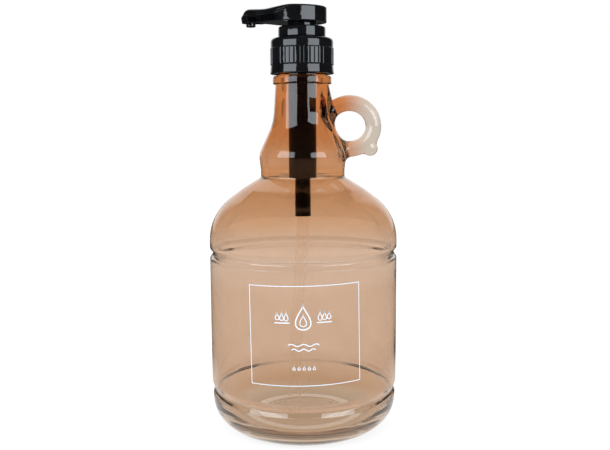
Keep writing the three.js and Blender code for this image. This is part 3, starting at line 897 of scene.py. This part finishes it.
def cover():
    low, high = DRUM["bottom"] - 1, DRUM["top"]
    width = DRUM["r"] + 3
    form = extruded("head_cover", HEAD_PLANS[0], low, high, True)
    form = combined(form, extruded("side", HEAD_SIDES[0], -width, width, False), "INTERSECT")
    hollow = extruded("hollow", HEAD_PLANS[1], low - 1, high, True)
    hollow = combined(hollow, extruded("side", HEAD_SIDES[1] - (0, 0.001), -width, width, False), "INTERSECT")
    form = combined(form, hollow, "DIFFERENCE")
    remesh = form.modifiers.new("remesh", "REMESH")
    remesh.mode = "VOXEL"
    remesh.voxel_size = 0.34 * MM
    form = applied(form)
    points = settled(head_field, points_of(form), 3)
    put_points(form, points)
    form.data.shade_smooth()
    slope = slope_of(head_field, points)
    slope /= np.maximum(np.linalg.norm(slope, axis=1), 1e-6)[:, None]
    form.data.normals_split_custom_set_from_vertices(slope.tolist())
    return form


def core():
    """Inner part of the head: base plate, skirt with the lock ridge, stem socket, channel and nozzle."""
    stem_bore = STEM["r"] + CLEARANCE
    middle = turned(
        "head_core",
        [
            (0, STEM_SOCKET["ceiling"]),
            (stem_bore, STEM_SOCKET["ceiling"]),
            (stem_bore, STEM_SOCKET["bottom"], 0.2),
            (STEM_SOCKET["r"], STEM_SOCKET["bottom"], 0.2),
            (STEM_SOCKET["r"], SKIRT["roof"]),
            (SKIRT["inner"], SKIRT["roof"]),
            (SKIRT["inner"], SKIRT["bottom"], 0.2),
            (SKIRT["r"], SKIRT["bottom"], 0.35),
            (SKIRT["r"], BASE_PLATE["low"] + 0.4),
            (STEM_SOCKET["r"], BASE_PLATE["low"] + 0.4),
            (STEM_SOCKET["r"], STEM_SOCKET["top"], 0.3),
            (0, STEM_SOCKET["top"]),
        ],
    )
    plate = extruded("plate", head_plan(HEAD_WALL + CLEARANCE), BASE_PLATE["low"], BASE_PLATE["high"], True)
    hole_r = SKIRT["r"] - 0.4
    plate = combined(plate, turned("hole", [(0, 170), (hole_r, 170), (hole_r, 186), (0, 186)]), "DIFFERENCE")
    lead, turns = LOCK_RIDGE["lead"], LOCK_RIDGE["turns"]
    ridge = thread("ridge", SKIRT["r"] - 0.2, LOCK_RIDGE["r"], LOCK_RIDGE["bottom"], lead, turns, 1.3, 0.7)
    end_x, level = NOZZLE["x"], CHANNEL["z"]
    channel = swept("channel", [(-STEM_SOCKET["r"] + 0.4, level), (end_x, level)], CHANNEL["r"], 32)
    r, low, high = NOZZLE["r"], NOZZLE["bottom"], NOZZLE["top"]
    nozzle = turned("nozzle", [(0, low), (r, low, 0.35), (r, high, 0.3), (0, high)], 48)
    put_points(nozzle, points_of(nozzle) + (end_x, 0, 0))
    for part in (plate, ridge, channel, nozzle):
        middle = combined(middle, part)
    flow = swept("flow", [(-STEM["r"], level), (end_x, level)], CHANNEL["bore"], 24)
    outlet = swept("outlet", [(end_x, low - 1), (end_x, level)], NOZZLE["bore"], 32)
    for part in (flow, outlet):
        middle = combined(middle, part, "DIFFERENCE")
    return middle


# ---------------------------------------------------------------- materials


class Nodes:
    """Adds nodes to one tree and joins them."""

    def __init__(self, tree):
        self.tree = tree

    def feed(self, socket, value):
        """Links an output to this input, or gives the input a constant."""
        if isinstance(value, bpy.types.NodeSocket):
            self.tree.links.new(value, socket)
        else:
            socket.default_value = value

    def add(self, kind, inputs=None, **settings):
        node = self.tree.nodes.new(kind)
        for key, value in settings.items():
            setattr(node, key, value)
        for key, value in (inputs or {}).items():
            self.feed(node.inputs[key], value)
        return node

    def span(self, value, low, high, to_low=0.0, to_high=1.0, smooth=False):
        kind = "SMOOTHSTEP" if smooth else "LINEAR"
        inputs = {"Value": value, "From Min": low, "From Max": high, "To Min": to_low, "To Max": to_high}
        return self.add("ShaderNodeMapRange", inputs, interpolation_type=kind).outputs["Result"]

    def maths(self, operation, a, b):
        return self.add("ShaderNodeMath", {0: a, 1: b}, operation=operation).outputs[0]


class Look(Nodes):
    """A node material that starts from one Principled shader."""

    def __init__(self, name, **sockets):
        self.material = bpy.data.materials.new(name)
        self.material.use_nodes = True
        super().__init__(self.material.node_tree)
        self.shader = self.tree.nodes["Principled BSDF"]
        self.output = self.tree.nodes["Material Output"]
        self.place = self.add("ShaderNodeTexCoord").outputs["Object"]
        for socket, value in sockets.items():
            self.shader.inputs[socket.replace("_", " ")].default_value = value

    def link(self, output, socket):
        self.tree.links.new(output, self.shader.inputs[socket])

    def noise(self, scale, detail=2.0, roughness=0.5, distortion=0.0, stretch=None):
        place = self.place
        if stretch is not None:
            place = self.add("ShaderNodeVectorMath", {0: place, 1: stretch}, operation="MULTIPLY").outputs[0]
        inputs = {
            "Vector": place,
            "Scale": scale,
            "Detail": detail,
            "Roughness": roughness,
            "Distortion": distortion,
        }
        return self.add("ShaderNodeTexNoise", inputs).outputs["Fac"]

    def ramp(self, factor, stops):
        node = self.add("ShaderNodeValToRGB", {"Fac": factor})
        ramp = node.color_ramp
        while len(ramp.elements) < len(stops):
            ramp.elements.new(0.5)
        for element, (position, colour) in zip(ramp.elements, stops):
            element.position = position
            element.color = (*colour, 1.0)
        return node.outputs["Color"]

    def mix(self, factor, a, b):
        """Blends two colours, each a socket or three numbers."""
        a, b = (c if isinstance(c, bpy.types.NodeSocket) else (*c, 1.0) for c in (a, b))
        return self.add("ShaderNodeMix", {0: factor, 6: a, 7: b}, data_type="RGBA").outputs[2]

    def bump(self, height, strength, distance):
        node = self.add("ShaderNodeBump", {"Height": height, "Strength": strength, "Distance": distance})
        self.link(node.outputs["Normal"], "Normal")

    def let_lamps_through(self, colour):
        """Shadow rays pass, tinted, so that what stands in the bottle is lit."""
        clear = self.add("ShaderNodeBsdfTransparent", {"Color": colour})
        shadow = self.add("ShaderNodeLightPath").outputs["Is Shadow Ray"]
        both = self.add("ShaderNodeMixShader", {"Fac": shadow})
        self.tree.links.new(self.shader.outputs["BSDF"], both.inputs[1])
        self.tree.links.new(clear.outputs["BSDF"], both.inputs[2])
        self.tree.links.new(both.outputs["Shader"], self.output.inputs["Surface"])


JUG_HEIGHT = 0.1719
WALL_TINT = (0.60, 0.40, 0.275)
BAND_TINT = (0.66, 0.47, 0.345)
DOME_TINT = (0.65, 0.365, 0.20)
SHOULDER_TINT = (0.555, 0.245, 0.1)
COLLAR_TINT = (0.61, 0.275, 0.115)
NECK_TINT = (0.58, 0.20, 0.062)
HEEL_TINT = (0.47, 0.25, 0.12)
FOOT_TINT = (0.54, 0.42, 0.28)
LOOP_TINT = (0.68, 0.59, 0.50)
INSIDE_TINT = (0.97, 0.97, 0.97)
GLASS_DEPTH = {"colour": (0.46, 0.44, 0.40), "density": 12.0}  # what thick glass takes off the light


def tinted_glass():
    """Clear glass with a sprayed tint on its outside: deep on the neck, thinner below and round the loop."""
    look = Look("tinted_glass", Transmission_Weight=1.0, Roughness=0.0, IOR=1.5)
    parts = look.add("ShaderNodeSeparateXYZ", {"Vector": look.place}).outputs
    cloud = look.noise(22.0, 3.0, 0.55, 0.4)
    drift = look.span(cloud, 0.3, 0.7, -0.0022, 0.0022)
    level = look.maths("ADD", parts["Z"], drift)
    height = look.maths("DIVIDE", level, JUG_HEIGHT)
    spray = look.ramp(
        height,
        [
            (0.0, FOOT_TINT),
            (0.012, FOOT_TINT),
            (0.045, HEEL_TINT),
            (0.155, WALL_TINT),
            (0.39, WALL_TINT),
            (0.43, BAND_TINT),
            (0.48, BAND_TINT),
            (0.555, DOME_TINT),
            (0.64, SHOULDER_TINT),
            (0.70, COLLAR_TINT),
            (0.78, NECK_TINT),
            (1.0, NECK_TINT),
        ],
    )
    across = look.add("ShaderNodeCombineXYZ", {"X": parts["X"], "Y": parts["Y"]}).outputs[0]
    reach = look.add("ShaderNodeVectorMath", {0: across}, operation="LENGTH").outputs["Value"]
    out = look.span(reach, 0.0165, 0.0315, smooth=True)
    up = look.span(level, 0.117, 0.121, smooth=True)
    spray = look.mix(look.maths("MULTIPLY", out, up), spray, LOOP_TINT)
    mottle = look.span(look.noise(95.0, 3.0, 0.6), 0.25, 0.75, 0.95, 1.04)
    spray = look.add("ShaderNodeVectorMath", {0: spray, 1: mottle}, operation="MULTIPLY").outputs[0]
    outside = look.add("ShaderNodeAttribute", attribute_name="outside").outputs["Fac"]
    tint = look.mix(outside, INSIDE_TINT, spray)
    look.link(tint, "Base Color")
    look.bump(look.noise(30.0, 2.0, 0.45, 0.6), 0.22, 0.0007)
    look.let_lamps_through(tint)
    depth = {"Color": (*GLASS_DEPTH["colour"], 1.0), "Density": GLASS_DEPTH["density"]}
    volume = look.add("ShaderNodeVolumeAbsorption", depth).outputs["Volume"]
    look.tree.links.new(volume, look.output.inputs["Volume"])
    return look.material


def black_plastic(name, gloss, waves, base, **sockets):
    """Moulded black plastic with faint sink waves and fine handling marks."""
    look = Look(name, IOR=1.5, **sockets)
    shade = look.noise(140.0, 3.0)
    low, high = (tuple(base * share * tone for tone in (0.95, 0.96, 1.1)) for share in (0.75, 1.3))
    look.link(look.ramp(shade, [(0.3, low), (0.7, high)]), "Base Color")
    marks = look.noise(900.0, 4.0, 0.6)
    look.link(look.span(marks, 0.35, 0.75, gloss - 0.03, gloss + 0.04), "Roughness")
    sink = look.noise(170.0, 2.0, 0.5, 0.5)
    grain = look.noise(2600.0, 2.0)
    height = look.maths("ADD", sink, look.maths("MULTIPLY", grain, 0.02))
    look.bump(height, waves, 0.0004)
    return look.material


def natural_plastic():
    """Milky polyethylene, which lets most light through."""
    look = Look("natural_plastic", Transmission_Weight=0.97, Roughness=0.12, IOR=1.07)
    cloud = look.noise(120.0, 3.0)
    tint = look.ramp(cloud, [(0.3, (0.975, 0.972, 0.965)), (0.7, (0.995, 0.993, 0.99))])
    look.link(tint, "Base Color")
    look.bump(look.noise(700.0, 2.0), 0.1, 0.0002)
    look.let_lamps_through(tint)
    return look.material


def foam_liner():
    look = Look("foam_liner", Roughness=0.9)
    cells = look.add("ShaderNodeTexVoronoi", {"Vector": look.place, "Scale": 2600.0}).outputs["Distance"]
    look.link(look.ramp(cells, [(0.0, (0.72, 0.71, 0.68)), (0.6, (0.88, 0.87, 0.84))]), "Base Color")
    look.bump(cells, 0.5, 0.0002)
    return look.material


def brushed_steel():
    look = Look("steel", Metallic=1.0)
    lines = look.noise(420.0, 3.0, 0.6, 0.0, (1.0, 1.0, 9.0))
    look.link(look.ramp(lines, [(0.3, (0.46, 0.47, 0.49)), (0.7, (0.62, 0.63, 0.65))]), "Base Color")
    look.link(look.span(lines, 0.3, 0.7, 0.16, 0.34), "Roughness")
    look.bump(lines, 0.1, 0.0001)
    return look.material


def white_print():
    """Opaque screen-print ink, a little uneven in its cover."""
    look = Look("white_print")
    cover_up = look.noise(1500.0, 3.0)
    look.link(look.ramp(cover_up, [(0.3, (0.52, 0.57, 0.64)), (0.7, (0.62, 0.67, 0.73))]), "Base Color")
    look.link(look.span(cover_up, 0.3, 0.7, 0.35, 0.5), "Roughness")
    look.bump(cover_up, 0.3, 0.00002)
    return look.material


# ---------------------------------------------------------------- pieces on their bodies


def placed(piece, body, node, slot, *materials, smooth=35):
    """Puts a piece on its body in place of its CAD node."""
    piece.data.materials.clear()
    for material in materials:
        piece.data.materials.append(material)
    if smooth:
        smooth_edges(piece, smooth)
    if body:
        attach(piece, body)
    if node:
        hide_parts(node)
    return piece


glossy = black_plastic("black_plastic_gloss", 0.06, 0.25, 0.0035)
# Darker, duller copy of the black plastic for the housing and stem inside the bottle: its lower base colour
# is painted shade.
shaded_black = black_plastic("black_plastic_shaded", 0.3, 0.1, 0.0012, Specular_IOR_Level=0.1)
milky = natural_plastic()
steel = brushed_steel()

placed(glass_jug(), "bottle", "glass_bottle", "tinted_glass", tinted_glass(), smooth=0)
placed(label_print(), "bottle", None, "white_print", white_print(), smooth=30)
placed(closure_cap(), "closure", "screw_closure", "black_plastic", glossy)
placed(trim_ring(), "pump_body", "chaplet", "black_plastic", glossy)
placed(housing(), "pump_body", "pump_housing", "black_plastic", shaded_black)
placed(gasket(), "pump_body", "mouth_gasket", "foam_liner", foam_liner())
tube = swept("suction_tube", tube_path(), TUBE["r"], 48, TUBE["bore"])
placed(tube, "pump_body", "dip_tube", "natural_plastic", milky)
placed(ball(), "inlet_ball", "inlet_ball", "steel", steel)
placed(rod(), "plunger", "piston_rod", "natural_plastic", milky)
placed(piston_sleeve(), "piston", "piston", "natural_plastic", milky)
placed(hollow_stem(), "plunger", "stem", "black_plastic", shaded_black)
placed(core(), "head", "actuator_core", "black_plastic", glossy)
placed(cover(), "head", "actuator_cover", "black_plastic", glossy, smooth=0)

spring = placed(coil(), None, "return_spring", "steel", steel)
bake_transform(spring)

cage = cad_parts["ball_cage"]
cage.data.materials.clear()
cage.data.materials.append(milky)

# ---------------------------------------------------------------- studio


def floor():
    """Plain pale floor. In reflections it turns nearly black and stops glowing from about 6 to 14 cm out from
    the bottle: a painted dark reflection.
    """
    size = 4.0
    verts = [(-size, -size, 0), (size, -size, 0), (size, size, 0), (-size, size, 0)]
    sheet = mesh_object("floor", np.array(verts) / MM, [(0, 1, 2, 3)])
    look = Look("floor", Roughness=0.9, Specular_IOR_Level=0.0, Emission_Color=(1, 1, 1, 1))
    grain = look.noise(3.0, 2.0)
    pale = look.ramp(grain, [(0.3, (0.24, 0.24, 0.24)), (0.7, (0.26, 0.26, 0.26))])
    # Painted dark reflection: mirrored rays that have not gone through glass see the floor nearly black from
    # 6 to 14 cm out.
    rays = look.add("ShaderNodeLightPath").outputs
    outer = look.maths("LESS_THAN", rays["Transmission Depth"], 0.5)
    mirrored = look.maths("MULTIPLY", rays["Is Glossy Ray"], outer)
    reach = look.add("ShaderNodeVectorMath", {0: look.place}, operation="LENGTH").outputs["Value"]
    painted_dark_reflection = look.maths("MULTIPLY", mirrored, look.span(reach, 0.06, 0.14))
    look.link(look.mix(painted_dark_reflection, pale, (0.02, 0.02, 0.02)), "Base Color")
    look.link(look.span(painted_dark_reflection, 0.0, 1.0, 0.82, 0.02), "Emission Strength")
    sheet.data.materials.append(look.material)


def flag(name, first, last, line):
    """Black card, turned from points (radius, height) between two azimuths, that only reflections see."""
    steps = 24
    verts, rings = [], []
    for r, z in subdivided(line, 3.0):
        rings.append(list(range(len(verts), len(verts) + steps + 1)))
        for k in range(steps + 1):
            angle = math.radians(first + (last - first) * k / steps)
            verts.append((r * math.sin(angle), -r * math.cos(angle), z))
    faces = [(a[k], a[k + 1], b[k + 1], b[k]) for a, b in zip(rings[:-1], rings[1:]) for k in range(steps)]
    card = mesh_object(name, verts, faces)
    look = Look("black_card", Roughness=1.0, Specular_IOR_Level=0.0)
    near_black = look.ramp(look.noise(90.0), [(0.3, (0.010, 0.010, 0.010)), (0.7, (0.014, 0.014, 0.014))])
    look.link(near_black, "Base Color")
    card.data.materials.append(look.material)
    for ray in ("camera", "diffuse", "transmission", "shadow"):
        setattr(card, "visible_" + ray, False)


SOFTBOXES = {
    "softbox_left": {"azimuth": -45.5, "width": 0.73, "low": 0.145, "high": 0.74, "radiance": 5.0},
    "softbox_right": {"azimuth": 43.5, "width": 0.63, "low": 0.145, "high": 0.61, "radiance": 5.2},
}


def softbox(name, azimuth, width, low, high, radiance, distance=0.8):
    """Upright soft light at an azimuth from -Y towards +X, turned to the bottle's neck."""
    lamp = bpy.data.lights.new(name, "AREA")
    lamp.shape = "RECTANGLE"
    lamp.size = width
    lamp.size_y = high - low
    lamp.energy = radiance * math.pi * width * (high - low)
    lamp.color = (0.86, 0.93, 1.0)
    obj = bpy.data.objects.new(name, lamp)
    bpy.context.scene.collection.objects.link(obj)
    angle = math.radians(azimuth)
    place = Vector((distance * math.sin(angle), -distance * math.cos(angle), (low + high) / 2))
    obj.location = place
    facing = Vector((-place.x, -place.y, 0))
    obj.rotation_euler = facing.to_track_quat("-Z", "Y").to_euler()
    obj.visible_camera = False
    obj.visible_transmission = False


def surroundings():
    """White backdrop. Reflections and bent rays see a dim studio in front of it."""
    world = bpy.data.worlds.new("studio")
    bpy.context.scene.world = world
    world.use_nodes = True
    nodes = Nodes(world.node_tree)
    add, maths = nodes.add, nodes.maths

    def span(value, low, high):
        return nodes.span(value, low, high, smooth=True)

    towards = add("ShaderNodeTexCoord").outputs["Generated"]
    parts = add("ShaderNodeSeparateXYZ", {"Vector": towards}).outputs
    level = add("ShaderNodeVectorMath", {0: towards, 1: (1, 1, 0)}, operation="MULTIPLY").outputs[0]
    flat = add("ShaderNodeVectorMath", {0: level}, operation="LENGTH").outputs["Value"]
    ahead = maths("DIVIDE", parts["Y"], flat)
    rays = add("ShaderNodeLightPath").outputs
    bent = rays["Is Transmission Ray"]
    deep = maths("GREATER_THAN", rays["Transmission Depth"], 3.5)
    mirrored = maths("MULTIPLY", rays["Is Glossy Ray"], maths("SUBTRACT", 1.0, bent))
    plain = maths("SUBTRACT", 1.0, maths("MAXIMUM", bent, mirrored))
    seen_mirrored = maths("MULTIPLY", span(ahead, 0.70, 0.92), span(parts["Z"], -0.1, 0.05))
    horizon = maths("SUBTRACT", 1.0, span(parts["Z"], 0.25, 0.4))
    wide = maths("MAXIMUM", maths("MULTIPLY", deep, horizon), span(ahead, 0.35, 0.75))
    seen_bent = maths("MULTIPLY", maths("MAXIMUM", wide, 0.45), span(ahead, -0.7, -0.2))
    seen_bent = maths("MAXIMUM", seen_bent, 0.12)
    parts_seen = maths("ADD", maths("MULTIPLY", mirrored, seen_mirrored), maths("MULTIPLY", bent, seen_bent))
    strength = maths("MAXIMUM", maths("ADD", plain, parts_seen), 0.03)
    background = nodes.tree.nodes["Background"].inputs
    nodes.feed(background["Strength"], strength)
    nodes.feed(background["Color"], (1, 1, 1, 1))


floor()
# Cards that only reflections see: painted dark reflections laid over the dome and the left of the head, where
# the softboxes' highlights would fall.
over_dome = OUTSIDE[(OUTSIDE[:, 1] > 87.5) & (OUTSIDE[:, 1] < 111)] + (0.4, 0.3)
flag("flag_dome", -55, 45, over_dome)
flag("flag_head", -85, -15, np.array([(60, 186), (60, 216)]))
surroundings()
for name, box in SOFTBOXES.items():
    softbox(name, **box)

camera = bpy.data.cameras.new("camera")
camera.lens = 47.26
camera.sensor_width = 36.0
camera.clip_start = 0.01
viewer = bpy.data.objects.new("camera", camera)
viewer.location = (0.00114, -0.3636, 0.137)
viewer.rotation_euler = (math.radians(83.056), math.radians(0.35), 0)
bpy.context.scene.collection.objects.link(viewer)
bpy.context.scene.camera = viewer

scene = bpy.context.scene
scene.view_settings.view_transform = "Standard"
scene.cycles.caustics_refractive = False
scene.cycles.caustics_reflective = False
scene.cycles.max_bounces = 24
scene.cycles.transmission_bounces = 20
scene.cycles.glossy_bounces = 16
scene.cycles.transparent_max_bounces = 24
